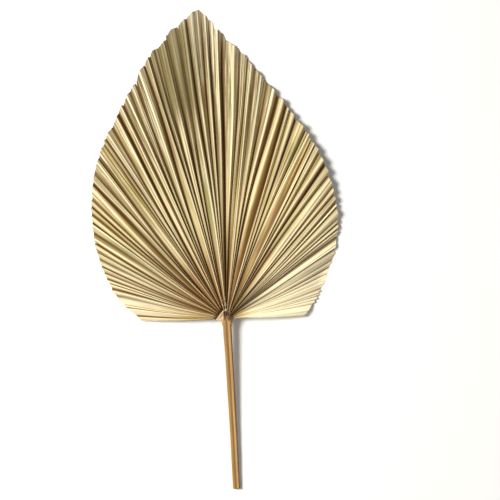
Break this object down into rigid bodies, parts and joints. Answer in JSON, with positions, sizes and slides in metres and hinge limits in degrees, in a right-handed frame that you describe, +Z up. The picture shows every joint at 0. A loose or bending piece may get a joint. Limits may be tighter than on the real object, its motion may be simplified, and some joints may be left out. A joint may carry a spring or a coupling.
{
  "type": "dried fan palm leaf",
  "caption": "Dried fan palm leaf trimmed to a spade outline: a pleated fan-shaped blade on a slim cut stalk, lying face up, for dried arrangements and decoration.",
  "frame": {"origin": "on the surface that the leaf lies on, in the middle of its outer box", "axes": "+Y from the cut end of the stalk to the tip of the blade, +Z up out of the blade's upper face, +X to the right seen from above"},
  "size_m": [0.276, 0.5378, 0.0244],
  "materials": {
    "blade": "matte",
    "stalk": "satin"
  },
  "bodies": {
    "root": {"blade": "blade", "stalk": "stalk"}
  },
  "joints": []
}
